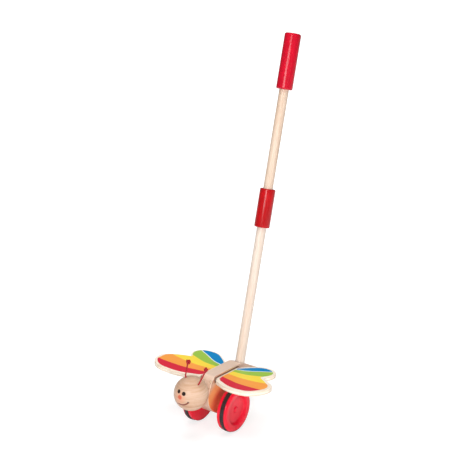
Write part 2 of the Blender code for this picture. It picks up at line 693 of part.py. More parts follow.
make_body()
make_head()
make_neck()
make_axle()
make_stick()
make_coupling()
make_grip()
for side, sign in SIDES.items():
    make_antenna(side, sign)
    make_wheel(side, sign)
    make_tyre(side, sign)
    make_spacer(side, sign)
    for end in PIN_ENDS:
        make_pin(side, sign, end)
    make_wing(side, sign)
    make_rod(side, sign)

low, high = whole_box()
root.location = (-(low.x + high.x) / 2, -(low.y + high.y) / 2, -low.z)
bpy.context.view_layer.update()

print("size", [round(side / MM, 1) for side in high - low])
print("axle", tuple(round(v, 5) for v in axle_line.matrix_world.translation))
for side in SIDES:
    hinge = bpy.data.objects[f"wing_hinge_{side}"].matrix_world
    print("hinge", side, [round(v, 5) for v in hinge.translation], [round(v, 5) for v in hinge.col[1][:3]])
grip_top = stick_line.matrix_world @ Vector((0, 0, GRIP_FROM + GRIP_LENGTH))
print("grip top", [round(v, 5) for v in grip_top], [round(v, 5) for v in stick_line.matrix_world.col[2][:3]])
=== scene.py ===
import json
import math
import bpy
import bmesh
import numpy as np
from mathutils import Matrix, Vector


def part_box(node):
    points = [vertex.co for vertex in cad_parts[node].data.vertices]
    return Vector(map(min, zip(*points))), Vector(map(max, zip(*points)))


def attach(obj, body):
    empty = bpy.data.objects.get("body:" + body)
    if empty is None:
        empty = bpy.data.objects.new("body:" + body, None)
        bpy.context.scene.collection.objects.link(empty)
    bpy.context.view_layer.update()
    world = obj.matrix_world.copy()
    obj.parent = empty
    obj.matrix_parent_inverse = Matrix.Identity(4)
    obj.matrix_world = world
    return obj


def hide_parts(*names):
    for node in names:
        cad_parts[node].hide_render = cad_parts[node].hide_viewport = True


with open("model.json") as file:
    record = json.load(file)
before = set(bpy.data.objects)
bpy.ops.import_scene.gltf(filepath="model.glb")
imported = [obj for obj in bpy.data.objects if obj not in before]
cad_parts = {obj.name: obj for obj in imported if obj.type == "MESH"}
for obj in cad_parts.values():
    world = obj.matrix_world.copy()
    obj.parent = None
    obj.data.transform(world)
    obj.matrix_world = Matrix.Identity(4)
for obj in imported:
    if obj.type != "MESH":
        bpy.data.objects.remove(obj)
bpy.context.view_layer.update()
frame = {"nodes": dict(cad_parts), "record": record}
record = frame["record"]
joints = {joint["name"]: joint for joint in record["behaviour"]["joints"]}
slotOf = {part["node"]: part["material_slot"] for part in record["subparts"]}
mm = 0.001
sides = {"left": 1, "right": -1}

# where things are, all read from the frame
axle = np.array(joints["wheels_roll"]["pos_m"])
hinges = {side: np.array(joints[side + "_wing_flap"]["pos_m"]) for side in sides}
hingeAxis = -np.array(joints["left_wing_flap"]["axis"])
gripTop = np.array(record["mounts"][0]["pos_m"])
stickAxis = np.array(record["mounts"][0]["axis"])
headLow, headHigh = (np.array(corner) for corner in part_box("head"))
headCentre = (headLow + headHigh) / 2
headInset = 0.03 * mm
headRadius = (headHigh - headLow).min() / 2 - headInset
print("frame: axle", axle, "head", headCentre, headRadius)

# camera, in degrees and metres: it stands 35 degrees round from the toy's front towards its left.
# The target is in mm from the axle, and focalShare is focal length by sensor width.
view = {
    "azimuth": 34.93, "elevation": 19.05, "distance": 1.5975, "target": (22.06, 0.34, 272.05),
    "focalShare": 1170 / 458,
}


def addCamera():
    a, e = math.radians(view["azimuth"]), math.radians(view["elevation"])
    back = Vector((math.sin(a) * math.cos(e), -math.cos(a) * math.cos(e), math.sin(e)))
    target = Vector(axle) + Vector(view["target"]) * mm
    data = bpy.data.cameras.new("camera")
    data.sensor_width = 36
    data.lens = view["focalShare"] * data.sensor_width
    camera = bpy.data.objects.new("camera", data)
    bpy.context.scene.collection.objects.link(camera)
    camera.location = target + back * view["distance"]
    camera.rotation_euler = back.to_track_quat("Z", "Y").to_euler()
    bpy.context.scene.camera = camera


addCamera()
print("camera placed")


# colours are written as sRGB hex, and every node is added by one function
def colour(code):
    parts = [int(code[i:i + 2], 16) / 255 for i in (1, 3, 5)]
    return tuple(c / 12.92 if c <= 0.04045 else ((c + 0.055) / 1.055) ** 2.4 for c in parts) + (1.0,)


def add(tree, kind, inputs=None, **settings):
    made = tree.nodes.new("ShaderNode" + kind)
    for key, value in settings.items():
        setattr(made, key, value)
    for key, value in (inputs or {}).items():
        if isinstance(value, bpy.types.NodeSocket):
            tree.links.new(value, made.inputs[key])
        else:
            made.inputs[key].default_value = value
    return made


def newMaterial(name):
    material = bpy.data.materials.new(name)
    material.use_nodes = True
    return material, material.node_tree, material.node_tree.nodes["Principled BSDF"]


def wire(tree, source, shader, key):
    tree.links.new(source, shader.inputs[key])


def ramp(tree, factor, stops):
    made, stops = add(tree, "ValToRGB", {"Fac": factor}), list(stops)
    elements = made.color_ramp.elements
    while len(elements) < len(stops):
        elements.new(0.5)
    for element, (place, code) in zip(elements, stops):
        element.position = place
        element.color = colour(code)
    return made.outputs["Color"]


def mapped(tree, value, low, high, toLow=0.0, toHigh=1.0, **settings):
    ends = {"Value": value, "From Min": low, "From Max": high, "To Min": toLow, "To Max": toHigh}
    return add(tree, "MapRange", ends, **settings).outputs["Result"]


def blend(tree, share, first, second, kind="RGBA"):
    return add(tree, "Mix", {"Factor": share, "A": first, "B": second}, data_type=kind).outputs["Result"]


def calc(tree, operation, *values):
    return add(tree, "Math", dict(enumerate(values)), operation=operation).outputs["Value"]


def objectPlace(tree):
    return add(tree, "TexCoord").outputs["Object"]


def turnedBy(tree, turn):
    return add(tree, "Mapping", {"Vector": objectPlace(tree), "Rotation": turn}).outputs["Vector"]


# a place in units of so many mm across the grain, X and Y, and along it, Z
def stretched(tree, place, wide, long):
    scale = (1 / (wide * mm), 1 / (wide * mm), 1 / (long * mm))
    return add(tree, "Mapping", {"Vector": place, "Scale": scale}).outputs["Vector"]


def noise(tree, place, scale, detail, **more):
    return add(tree, "TexNoise", dict(more, Vector=place, Scale=scale, Detail=detail)).outputs["Fac"]


def bumps(tree, height, strength, depth=0.1):
    made = add(tree, "Bump", {"Height": height, "Strength": strength, "Distance": depth * mm})
    return made.outputs["Normal"]


# a finish to be painted over: its tree, its shader and its colour so far
def underneath(material):
    tree, shader = material.node_tree, material.node_tree.nodes["Principled BSDF"]
    return tree, shader, shader.inputs["Base Color"].links[0].from_socket


# Beech, planed or turned, under thin satin lacquer: pale and straight-grained, with short darker
# flecks. The growth lines lie about 2 mm apart and the flecks are about 0.5 by 4 mm, both a little
# coarser than life so that they show. turn lays the grain along the piece.
beechLook = {
    "lineWidth": 2.2, "lineLength": 60.0, "broadScale": 0.16, "broadShare": 0.45, "stops": (0.34, 0.52, 0.68),
    "fleckWidth": 0.5, "fleckLength": 4.0, "fleckFrom": 0.60, "fleckTo": 0.72, "fleckShare": 0.30,
    "roughness": 0.42, "smoother": 0.06, "rougher": 0.08, "coat": 0.25, "coatRoughness": 0.22, "bump": 0.05,
}


def beech(name, pale, middle, dark, turn=(0, 0, 0), look=beechLook):
    material, tree, shader = newMaterial(name)
    along = turnedBy(tree, turn)
    lines = stretched(tree, along, look["lineWidth"], look["lineLength"])
    growth = noise(tree, lines, 1.0, 3.0, Roughness=0.55)
    broad = noise(tree, lines, look["broadScale"], 1.0)
    flecks = noise(tree, stretched(tree, along, look["fleckWidth"], look["fleckLength"]), 1.0, 1.0)
    figure = blend(tree, look["broadShare"], growth, broad, "FLOAT")
    tone = ramp(tree, figure, zip(look["stops"], (pale, middle, dark)))
    fleck = mapped(tree, flecks, look["fleckFrom"], look["fleckTo"], 0.0, look["fleckShare"])
    wire(tree, blend(tree, fleck, tone, colour(dark)), shader, "Base Color")
    least, most = look["roughness"] - look["smoother"], look["roughness"] + look["rougher"]
    wire(tree, mapped(tree, growth, 0.0, 1.0, least, most), shader, "Roughness")
    wire(tree, bumps(tree, flecks, look["bump"]), shader, "Normal")
    shader.inputs["Coat Weight"].default_value = look["coat"]
    shader.inputs["Coat Roughness"].default_value = look["coatRoughness"]
    shader.inputs["IOR"].default_value = 1.5
    return material


# The wheels' red shines on the body's sides: an orange tone within a wheel's radius of the axle,
# redder close to it. From the side the wheels hide it. Lengths in mm.
sideTone = {
    "code": "#FAA662", "strength": 0.9, "full": 37.0, "none": 49.0, "flatFrom": 9.6, "flatTo": 9.97,
    "redCode": "#F46E42", "redFull": 23.0, "redNone": 35.0,
}
# a painted highlight along the rounded edge round the chest, lengths in mm
edgeHighlightLook = {"code": "#FFEAD4", "strength": 0.9, "full": 54.0, "none": 62.0, "from": 8.3, "to": 9.3}
# painted light: the surfaces that face upwards are painted the palest
topLightLook = {"code": "#FCE2CE", "strength": 0.7, "from": 0.15, "full": 0.95}
# painted shade: the wood is darkened where surfaces nearly meet, as in the wings' slots, and the red is
# painted deeper in the wheels' dishes
creviceShadeLook = {"reach": 4.5, "code": "#8A3C1A", "strength": 0.95, "closed": 0.15, "open": 0.68}
dishShadeLook = {"reach": 8.0, "code": "#8C0A1E", "strength": 0.8, "closed": 0.5, "open": 0.93}


# painted shade: the colour darkens where nearby surfaces close a point in
def paintedCreviceShade(material, look=creviceShadeLook):
    tree, shader, base = underneath(material)
    clear = add(tree, "AmbientOcclusion", {"Distance": look["reach"] * mm}, samples=8).outputs["AO"]
    share = mapped(tree, clear, look["closed"], look["open"], look["strength"], 0.0)
    wire(tree, blend(tree, share, base, colour(look["code"])), shader, "Base Color")
    return material


# painted light: a face is painted paler the more it faces up
def paintedTopLight(material):
    look = topLightLook
    tree, shader, base = underneath(material)
    up = add(tree, "SeparateXYZ", {"Vector": add(tree, "TexCoord").outputs["Normal"]}).outputs["Z"]
    share = mapped(tree, up, look["from"], look["full"], 0.0, look["strength"])
    wire(tree, blend(tree, share, base, colour(look["code"])), shader, "Base Color")
    return material


# painted light on the body: a painted highlight on the chest's rounded edge and the painted reflection of the wheels'
# red on its sides
def paintedSideLight(material):
    tree, shader, base = underneath(material)
    away = add(tree, "VectorMath", {0: objectPlace(tree), 1: tuple(axle)}, operation="SUBTRACT").outputs["Vector"]
    flat = add(tree, "VectorMath", {0: away, 1: (0, 1, 1)}, operation="MULTIPLY").outputs["Vector"]
    reach = add(tree, "VectorMath", {0: flat}, operation="LENGTH").outputs["Value"]
    outwards = calc(tree, "ABSOLUTE", add(tree, "SeparateXYZ", {"Vector": away}).outputs["X"])

    def within(full, none, strength=1.0):
        return mapped(tree, reach, full * mm, none * mm, strength, 0.0, interpolation_type="SMOOTHSTEP")

    # a painted highlight makes the rounded edge round the chest pale, a line before the orange
    onSide = mapped(tree, outwards, sideTone["flatFrom"] * mm, sideTone["flatTo"] * mm)
    onEdge = mapped(tree, outwards, edgeHighlightLook["from"] * mm, edgeHighlightLook["to"] * mm)
    rounded = calc(tree, "SUBTRACT", onEdge, onSide)
    inside = within(edgeHighlightLook["full"], edgeHighlightLook["none"], edgeHighlightLook["strength"])
    toned = blend(tree, calc(tree, "MULTIPLY", inside, rounded), base, colour(edgeHighlightLook["code"]))
    close = within(sideTone["redFull"], sideTone["redNone"])
    glow = blend(tree, close, colour(sideTone["code"]), colour(sideTone["redCode"]))
    near = within(sideTone["full"], sideTone["none"], sideTone["strength"])
    toned = blend(tree, calc(tree, "MULTIPLY", near, onSide), toned, glow)
    wire(tree, toned, shader, "Base Color")
    return material


# Red lacquer sprayed on turned beech: deep even colour, a clear gloss with slight orange peel about
# 1.5 mm across, and the wood's lines just felt through it.
lacquerLook = {
    "peel": 1.5, "lineWidth": 1.2, "lineLength": 36.0, "cloudScale": 60.0, "grainShare": 0.4, "feltShare": 0.35,
    "roughness": 0.5, "specular": 0.1, "coat": 0.8, "coatRoughness": 0.2, "bump": 0.05,
}


def redLacquer(name, bright, deep, turn=(0, 0, 0)):
    look = lacquerLook
    material, tree, shader = newMaterial(name)
    along = turnedBy(tree, turn)
    grain = noise(tree, stretched(tree, along, look["lineWidth"], look["lineLength"]), 1.0, 2.0)
    cloud = noise(tree, along, look["cloudScale"], 2.0)
    peel = noise(tree, along, 1 / (look["peel"] * mm), 1.0)
    figure = blend(tree, look["grainShare"], cloud, grain, "FLOAT")
    wire(tree, ramp(tree, figure, [(0.35, deep), (0.65, bright)]), shader, "Base Color")
    relief = bumps(tree, blend(tree, look["feltShare"], peel, grain, "FLOAT"), look["bump"])
    wire(tree, relief, shader, "Normal")
    wire(tree, relief, shader, "Coat Normal")
    shader.inputs["Roughness"].default_value = look["roughness"]
    shader.inputs["Specular IOR Level"].default_value = look["specular"]
    shader.inputs["Coat Weight"].default_value = look["coat"]
    shader.inputs["Coat Roughness"].default_value = look["coatRoughness"]
    shader.inputs["IOR"].default_value = 1.5
    return material


# Moulded black rubber: matt, with a slight grey bloom and scuffs of 0.8 mm
rubberLook = {"bloomScale": 90.0, "scuff": 0.8, "scuffShare": 0.35, "smoothest": 0.42, "roughest": 0.62, "bump": 0.12}


def blackRubber(name):
    look = rubberLook
    material, tree, shader = newMaterial(name)
    place = objectPlace(tree)
    bloom = noise(tree, place, look["bloomScale"], 3.0)
    scuffs = noise(tree, place, 1 / (look["scuff"] * mm), 2.0)
    figure = blend(tree, look["scuffShare"], bloom, scuffs, "FLOAT")
    wire(tree, ramp(tree, figure, [(0.35, "#1E1416"), (0.7, "#3A2C2F")]), shader, "Base Color")
    wire(tree, mapped(tree, scuffs, 0.0, 1.0, look["smoothest"], look["roughest"]), shader, "Roughness")
    wire(tree, bumps(tree, scuffs, look["bump"]), shader, "Normal")
    return material


# Drawn steel rod: bright, with fine lines along it
steelLook = {"lineScale": (4000, 4000, 60), "smoothest": 0.22, "roughest": 0.36}


def drawnSteel(name, turn=(0, 0, 0)):
    look = steelLook
    material, tree, shader = newMaterial(name)
    placing = {"Vector": objectPlace(tree), "Rotation": turn, "Scale": look["lineScale"]}
    drawn = noise(tree, add(tree, "Mapping", placing).outputs["Vector"], 1.0, 2.0)
    wire(tree, ramp(tree, drawn, [(0.3, "#A9ABB0"), (0.7, "#C9CBCF")]), shader, "Base Color")
    wire(tree, mapped(tree, drawn, 0.0, 1.0, look["smoothest"], look["roughest"]), shader, "Roughness")
    shader.inputs["Metallic"].default_value = 1.0
    return material


# Waxed cotton cord, three strands twisted together with a turn every 3.2 mm: painted shade in the grooves,
# fuzzed by fibres of 0.35 mm. V runs round it, U along it in metres. swell and sink are shares of
# its radius.
cordLook = {"strands": 3, "pitch": 3.2, "fibre": 0.35, "fuzz": 0.35, "bump": 0.5, "swell": 0.10, "sink": 0.06}


def waxedCord(name):
    look = cordLook
    material, tree, shader = newMaterial(name)
    along = add(tree, "UVMap", uv_map="wound").outputs["UV"]
    strands = look["strands"]
    turns = add(tree, "Mapping", {"Vector": along, "Scale": (strands / (look["pitch"] * mm), strands, 1)})
    parts = add(tree, "SeparateXYZ", {"Vector": turns.outputs["Vector"]})
    # painted shade: darker where the strands meet
    groove = calc(tree, "PINGPONG", calc(tree, "ADD", parts.outputs["X"], parts.outputs["Y"]), 1.0)
    fibres = noise(tree, objectPlace(tree), 1 / (look["fibre"] * mm), 2.0)
    figure = blend(tree, look["fuzz"], groove, fibres, "FLOAT")
    wire(tree, ramp(tree, figure, [(0.1, "#5E0A0E"), (0.45, "#A2141E"), (0.8, "#CC2632")]), shader, "Base Color")
    wire(tree, bumps(tree, figure, look["bump"], 0.2), shader, "Normal")
    shader.inputs["Roughness"].default_value = 0.6
    return material


stickLean = math.atan2(stickAxis[1], stickAxis[2])
alongY, alongX, alongStick = (math.pi / 2, 0, 0), (0, math.pi / 2, 0), (stickLean, 0, 0)
boardLook, dowelLook = dict(beechLook, coat=0.6), dict(beechLook, coat=0.1)
board = beech("lacqueredBeechBoard", "#E4BFA5", "#DAB094", "#C89676", alongY, boardLook)
# the body's wood carries painted light: a painted highlight on the chest's edge, the painted reflection of the
# wheels' red, paler upward faces and painted shade in its crevices
bodyBeech = paintedCreviceShade(paintedTopLight(paintedSideLight(board)))
# the stick's halves are of two dowels, and the lower one is the paler
stickBeech = {
    "stick_lower": beech("paleBeechDowel", "#ECE0D4", "#E5D3C4", "#DCC3AF", alongStick, dowelLook),
    "stick_upper": beech("lacqueredBeechDowel", "#E3CFBC", "#DCC2AC", "#D0B197", alongStick, dowelLook),
}
smallBeech = beech("plainBeechPins", "#F2D6B4", "#E8C59F", "#D6AC80", alongX)
gripRed = redLacquer("redLacquerOnGrip", "#D20A2A", "#BC0824", alongStick)
couplingRed = redLacquer("redLacquerOnCoupling", "#C20C14", "#A80A10", alongStick)
# painted shade deepens the red in the wheels' dishes
wheelRed = paintedCreviceShade(redLacquer("redLacquerOnWheel", "#F20A32", "#E0082A"), dishShadeLook)
rubber = blackRubber("mouldedBlackRubber")
steel = drawnSteel("drawnSteelRod", alongX)
cordRed = waxedCord("waxedCottonCord")
slotLook = {
    "natural_beech": smallBeech, "painted_plywood": bodyBeech, "red_lacquered_wood": gripRed,
    "black_rubber": rubber, "red_cord": cordRed, "steel": steel,
}
for name, node in frame["nodes"].items():
    for slot in node.material_slots:
        slot.material = slotLook[slotOf[name]]
print("finishes made:", len(bpy.data.materials))


# a mesh from a grid of points: rows by columns, each row a closed ring. A pole closes an open end.
def gridPiece(name, rings, material, firstPole=None, lastPole=None, closeRows=False, flip=False, uv=None):
    rows, columns = rings.shape[:2]
    points = rings.reshape(-1, 3)
    a = np.arange(rows if closeRows else rows - 1)[:, None]
    b = np.arange(columns)[None, :]
    nextRow, nextColumn = (a + 1) % rows, (b + 1) % columns
    quads = np.stack(np.broadcast_arrays(a * columns + b, a * columns + nextColumn,
                                         nextRow * columns + nextColumn, nextRow * columns + b), -1).reshape(-1, 4)
    faces = quads.tolist()
    ring = np.arange(columns)
    for pole, row, turn in ((firstPole, 0, 1), (lastPole, rows - 1, -1)):
        if pole is not None:
            points = np.vstack([points, pole])
            tip, edge = np.full(columns, len(points) - 1), row * columns + ring
            fan = np.stack([tip, np.roll(edge, -1), edge], -1)
            faces += fan[:, ::turn].tolist()
    if flip:
        faces = [face[::-1] for face in faces]
    mesh = bpy.data.meshes.new(name)
    mesh.from_pydata(points.tolist(), [], faces)
    mesh.update()
    if uv is not None:
        corners = np.zeros(len(mesh.loops), dtype=np.int32)
        mesh.loops.foreach_get("vertex_index", corners)
        perPoint = np.vstack([uv.reshape(-1, 2), np.zeros((len(points) - rows * columns, 2))])
        mesh.uv_layers.new(name="wound").data.foreach_set("uv", perPoint[corners].astype(np.float32).ravel())
    mesh.shade_smooth()
    mesh.materials.append(material)
    piece = bpy.data.objects.new(name, mesh)
    bpy.context.scene.collection.objects.link(piece)
    return piece


def axes(direction):
    along = np.array(direction, dtype=float) / np.linalg.norm(direction)
    helper = np.array((1.0, 0, 0)) if abs(along[0]) < 0.9 else np.array((0, 1.0, 0))
    first = np.cross(helper, along)
    first /= np.linalg.norm(first)
    return first, np.cross(along, first), along


# a turned piece: its profile (radius, height) in mm goes once round the axis. The profile runs from
# the top outwards and down, and a radius of nothing at an end closes it there.
def turned(name, profile, origin, direction, material, count=96, closed=False, sharp=None):
    profile = np.array(profile, dtype=float) * mm
    first, second, along = axes(direction)
    origin = np.array(origin, dtype=float)
    poles = [None, None]
    if not closed:
        for end in (0, -1):
            poles[end] = origin + along * profile[end, 1]
        profile = profile[1:-1]
    angle = np.linspace(0, 2 * np.pi, count, endpoint=False)
    radial = np.cos(angle)[:, None] * first + np.sin(angle)[:, None] * second
    rings = origin + profile[:, 0, None, None] * radial[None] + profile[:, 1, None, None] * along
    piece = gridPiece(name, rings, material, poles[0], poles[1], closeRows=closed, flip=True)
    if sharp:
        piece.data.set_sharp_from_angle(angle=math.radians(sharp))
    return piece


# points of a rounded corner, from one angle to another in degrees
def arc(radius, height, size, start, end, steps=8):
    angle = np.radians(np.linspace(start, end, steps + 1))
    return list(zip(radius + size * np.cos(angle), height + size * np.sin(angle)))


# a smooth closed line through points, as a designer's curve tool draws it: each point's handles
# lie along the mean of the directions to its neighbours, except at corners. On a straight stretch
# a handle's length is the way to the neighbour divided by handleShare.
handleShare = 2.5614


def smoothLoop(points, corners, steps=12):
    here = np.array(points, dtype=float)
    before, after = np.roll(here, 1, 0), np.roll(here, -1, 0)
    back, ahead = here - before, after - here
    backLength = np.linalg.norm(back, axis=1, keepdims=True)
    aheadLength = np.linalg.norm(ahead, axis=1, keepdims=True)
    along = back / backLength + ahead / aheadLength
    size = np.linalg.norm(along, axis=1, keepdims=True) * handleShare
    inHandle = here - along * backLength / size
    outHandle = here + along * aheadLength / size
    kinds = np.array([corners.get(i, "") for i in range(len(here))])
    straightIn = np.char.find(kinds, "i") >= 0
    straightOut = np.char.find(kinds, "o") >= 0
    inHandle[straightIn] = (here - back / 3)[straightIn]
    outHandle[straightOut] = (here + ahead / 3)[straightOut]
    t = np.linspace(0, 1, steps, endpoint=False)[None, :, None]
    p0, p1, p2, p3 = here[:, None], outHandle[:, None], np.roll(inHandle, -1, 0)[:, None], after[:, None]
    return ((1 - t) ** 3 * p0 + 3 * (1 - t) ** 2 * t * p1 + 3 * (1 - t) * t ** 2 * p2 + t ** 3 * p3).reshape(-1, 2)


def onStick(distance):
    return gripTop + stickAxis * (distance - grip["top"]) * mm


# stick, coupling and grip, in mm along the stick from where it enters the body
grip = {
    "top": 488.48, "length": 81.0, "radius": 11.97, "topRound": 3.0, "footRound": 2.0, "bore": 7.3,
    "boreDepth": 60.0,
}
coupling = {"middle": 233.5, "length": 57.0, "radius": 11.4, "round": 1.8, "clearance": 0.3}
stick = {"from": -28.0, "joint": 233.5, "to": 467.2, "radius": 7.0, "chamfer": 0.8, "gap": 0.15}


def makeStick():
    r, c = stick["radius"], stick["chamfer"]
    lowerEnd, upperStart = stick["joint"] - stick["gap"], stick["joint"] + stick["gap"]
    halves = {"stick_lower": (stick["from"], lowerEnd), "stick_upper": (upperStart, stick["to"])}
    for node, (low, high) in halves.items():
        profile = [(0, high), (r - c, high), (r, high - c), (r, low + c), (r - c, low), (0, low)]
        piece = turned("turned_" + node, profile, onStick(0), stickAxis, stickBeech[node], 64, sharp=30)
        finish(piece, "chassis", node)
    half, r, e = coupling["length"] / 2, coupling["radius"], coupling["round"]
    low, high = coupling["middle"] - half, coupling["middle"] + half
    inner = stick["radius"] + coupling["clearance"]
    profile = [(inner, high)] + arc(r - e, high - e, e, 90, 0) + arc(r - e, low + e, e, 0, -90) + [(inner, low)]
    piece = turned("turned_coupling", profile, onStick(0), stickAxis, couplingRed, 96, closed=True, sharp=50)
    finish(piece, "chassis", "coupling")
    low, high, r = grip["top"] - grip["length"], grip["top"], grip["radius"]
    a, b = grip["topRound"], grip["footRound"]
    profile = [(0, high), (r - 2 * a, high)] + arc(r - a, high - a, a, 90, 0) + arc(r - b, low + b, b, 0, -90)
    bore, deep = grip["bore"], low + grip["boreDepth"]
    profile += [(bore, low), (bore, deep), (0, deep)]
    piece = turned("turned_grip", profile, onStick(0), stickAxis, gripRed, 96, sharp=50)
    finish(piece, "chassis", "grip")


def finish(piece, body, *nodes):
    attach(piece, body)
    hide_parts(*nodes)


makeStick()
print("stick, coupling and grip turned")

# wheels, in mm: the outer face has a flat rim round a smooth dish with a slight boss in its middle,
# and a groove holds the rubber ring. From the middle out the dish rises as 1 - (1 + cos(pi * share
# ** steep)) / 2, and the boss falls off as 1 / (1 + exp((radius - bossRadius) / bossEdge)).
wheel = {
    "face": 23.0, "width": 15.5, "radius": 32.3, "outerRound": 3.6, "innerRound": 1.4, "rimFlat": 6.0,
    "dish": 5.0, "steep": 8.0, "boss": 1.8, "bossRadius": 4.2, "bossEdge": 0.4,
    "grooveFrom": 5.3, "grooveWidth": 6.4, "grooveRadius": 29.1, "lip": 0.3, "bore": 3.3, "boreEnd": 7.5,
    "tyreRadius": 33.0, "tyreGap": 0.3, "spacerGap": 0.08, "spacerRound": 0.8, "axleRound": 0.6, "pinRound": 0.7,
}


def makeWheels():
    w = wheel
    r, lip = w["radius"], w["lip"]
    for side, sign in sides.items():
        origin, outwards = axle + np.array((sign * w["face"] * mm, 0, 0)), (sign, 0, 0)
        dishRadius = r - w["outerRound"] - w["rimFlat"]
        share = np.linspace(0, 1, 49)
        boss = w["boss"] / (1 + np.exp((share * dishRadius - w["bossRadius"]) / w["bossEdge"]))
        height = w["width"] - w["dish"] * (1 + np.cos(np.pi * share ** w["steep"])) / 2 + boss
        bottom, top = w["grooveFrom"], w["grooveFrom"] + w["grooveWidth"]
        profile = list(zip(dishRadius * share, height))
        profile += arc(r - w["outerRound"], w["width"] - w["outerRound"], w["outerRound"], 90, 0, 12)
        profile += arc(r - lip, top + lip, lip, 0, -90, 3) + [(w["grooveRadius"], top), (w["grooveRadius"], bottom)]
        profile += arc(r - lip, bottom - lip, lip, 90, 0, 3)
        profile += arc(r - w["innerRound"], w["innerRound"], w["innerRound"], 0, -90, 5)
        profile += [(w["bore"], 0), (w["bore"], w["boreEnd"]), (0, w["boreEnd"])]
        piece = turned("turned_wheel_" + side, profile, origin, outwards, wheelRed, 144, sharp=50)
        finish(piece, "wheelset", "wheel_" + side)
        low, high = bottom + w["tyreGap"], top - w["tyreGap"]
        crown, inner = w["tyreRadius"] - r, w["grooveRadius"] + w["tyreGap"]
        profile = [(inner, high)] + arc(w["tyreRadius"] - crown, high - crown, crown, 90, 0, 5)
        profile += arc(w["tyreRadius"] - crown, low + crown, crown, 0, -90, 5) + [(inner, low)]
        piece = turned("rubber_ring_" + side, profile, origin, outwards, rubber, 144, closed=True, sharp=60)
        finish(piece, "wheelset", "tyre_" + side)
        for end in ("front", "rear"):
            makePin(side, sign, end)
        low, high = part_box("axle_spacer_" + side)
        length, wide = (high[0] - low[0]) / mm - w["spacerGap"], (high[2] - low[2]) / 2 / mm
        start, e = np.array((low[0] if sign > 0 else high[0], axle[1], axle[2])), w["spacerRound"]
        profile = [(w["bore"], length)] + arc(wide - e, length - e, e, 90, 0, 4)
        profile += arc(wide - e, e, e, 0, -90, 4) + [(w["bore"], 0)]
        piece = turned("turned_spacer_" + side, profile, start, outwards, smallBeech, 48, closed=True, sharp=50)
        finish(piece, "chassis", "axle_spacer_" + side)
    piece = turned("steel_axle", rodProfile("axle", w["axleRound"]), axle, (1, 0, 0), steel, 48, sharp=50)
    finish(piece, "wheelset", "axle")


# a rod that lies along X with rounded ends, as long and as thick as its node
def rodProfile(node, e):
    low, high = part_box(node)
    half, r = (high[0] - low[0]) / 2 / mm, (high[2] - low[2]) / 2 / mm
    return [(0, half)] + arc(r - e, half - e, e, 90, 0, 4) + arc(r - e, e - half, e, 0, -90, 4) + [(0, -half)]


# a pin's place is read from its node, because the wheels hold them at their own angles
def makePin(side, sign, end):
    node = f"lift_pin_{side}_{end}"
    low, high = (np.array(corner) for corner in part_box(node))
    profile = rodProfile(node, wheel["pinRound"])
    piece = turned("turned_" + node, profile, (low + high) / 2, (sign, 0, 0), smallBeech, 40, sharp=50)
    finish(piece, "wheelset", node)


makeWheels()
print("wheels, rubber rings, pins and axle turned")


# the body, the neck and the lifters keep their CAD form, merged so that rounded edges shade smoothly
def smoothCopy(node, name, body, material, sharpAngle=32, mergeWithin=0.005):
    mesh = frame["nodes"][node].data.copy()
    mesh.name = name
    made = bmesh.new()
    made.from_mesh(mesh)
    bmesh.ops.remove_doubles(made, verts=made.verts, dist=mergeWithin * mm)
    made.to_mesh(mesh)
    made.free()
    mesh.shade_smooth()
    mesh.set_sharp_from_angle(angle=math.radians(sharpAngle))
    mesh.materials.clear()
    mesh.materials.append(material)
    piece = bpy.data.objects.new(name, mesh)
    bpy.context.scene.collection.objects.link(piece)
    # large flats keep their own normals, so the long triangles round the bores don't show
    weighted = piece.modifiers.new("weighted", "WEIGHTED_NORMAL")
    weighted.mode, weighted.weight, weighted.keep_sharp = "FACE_AREA", 60, True
    finish(piece, body, node)


smoothCopy("body", "sawn_body", "chassis", bodyBeech)
smoothCopy("neck_dowel", "turned_neck", "chassis", smallBeech)
for side in sides:
    smoothCopy("lifter_" + side, "wooden_lifter_" + side, side + "_wing", smallBeech)
print("body, neck and lifters smoothed")

# the face. A place on the ball is (turn towards the toy's left, height) in degrees, then comes the
# size in mm. The soft edge of a print is in mm too.
face = {
    "eyes": ((-12.7, 25.2, 2.8), (10.0, 22.4, 2.9)), "nose": (-3.8, 7.6, 3.3), "blush": (-6.5, 3.5, 9.0),
    "mouthCentre": (-2.4, 19.9), "mouthRadius": 16.33, "mouthWidth": 1.1, "mouthTurn": 15.0, "mouthHalfAngle": 34.0,
    "tick": (26.2, -4.4, 1.0), "edge": 0.25, "noseEdge": 0.9, "noseInk": 0.9, "blushEdge": 4.5, "blushInk": 0.40,
}
faceInks = {"blush": "#F09468", "nose": "#D9542E", "eye": "#1E0A04", "smile": "#7A2C14", "tick": "#3A160C"}
headLook = dict(beechLook, coat=0.5, lineWidth=30.0, lineLength=1.6, fleckWidth=6.0, fleckLength=0.5)


def onBall(turn, height):
    turn, height = math.radians(turn), math.radians(height)
    out = np.array((math.sin(turn) * math.cos(height), -math.cos(turn) * math.cos(height), math.sin(height)))
    return out * headRadius


